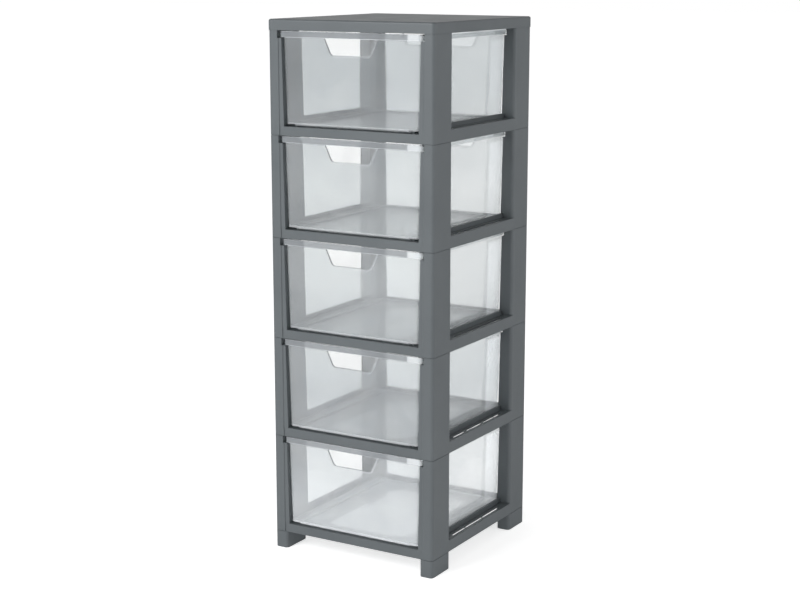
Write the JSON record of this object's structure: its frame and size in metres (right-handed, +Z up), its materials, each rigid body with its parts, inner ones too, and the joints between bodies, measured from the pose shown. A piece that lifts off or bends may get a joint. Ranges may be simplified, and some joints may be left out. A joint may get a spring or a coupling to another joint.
{
  "type": "plastic drawer tower",
  "caption": "Free-standing grey plastic tower of stacked open frames with clear pull-out drawers, a flat top cover and short corner feet.",
  "frame": {"origin": "on the floor, under the middle of the tower's width and depth", "axes": "+Z up, -Y towards the front the drawers open to, +X to the right seen from the front"},
  "size_m": [0.332, 0.355, 0.955],
  "materials": {
    "grey_plastic": "fine satin moulded surface, cool mid grey",
    "clear_plastic": "clear, slightly frosted moulded plastic with polished edges"
  },
  "bodies": {
    "tower": {"top_cover": "grey_plastic", "frame_1": "grey_plastic", "frame_2": "grey_plastic", "frame_3": "grey_plastic", "frame_4": "grey_plastic", "frame_5": "grey_plastic", "foot_front_left": "grey_plastic", "foot_front_right": "grey_plastic", "foot_rear_left": "grey_plastic", "foot_rear_right": "grey_plastic"},
    "drawer_body_1": {"drawer_1": "clear_plastic"},
    "drawer_body_2": {"drawer_2": "clear_plastic"},
    "drawer_body_3": {"drawer_3": "clear_plastic"},
    "drawer_body_4": {"drawer_4": "clear_plastic"},
    "drawer_body_5": {"drawer_5": "clear_plastic"}
  },
  "joints": [
    {"name": "drawer_slide_1", "type": "slide", "parent": "tower", "child": "drawer_body_1", "axis": [0, -1, 0], "range_m": [0, 0.26]},
    {"name": "drawer_slide_2", "type": "slide", "parent": "tower", "child": "drawer_body_2", "axis": [0, -1, 0], "range_m": [0, 0.26]},
    {"name": "drawer_slide_3", "type": "slide", "parent": "tower", "child": "drawer_body_3", "axis": [0, -1, 0], "range_m": [0, 0.26]},
    {"name": "drawer_slide_4", "type": "slide", "parent": "tower", "child": "drawer_body_4", "axis": [0, -1, 0], "range_m": [0, 0.26]},
    {"name": "drawer_slide_5", "type": "slide", "parent": "tower", "child": "drawer_body_5", "axis": [0, -1, 0], "range_m": [0, 0.26]}
  ]
}
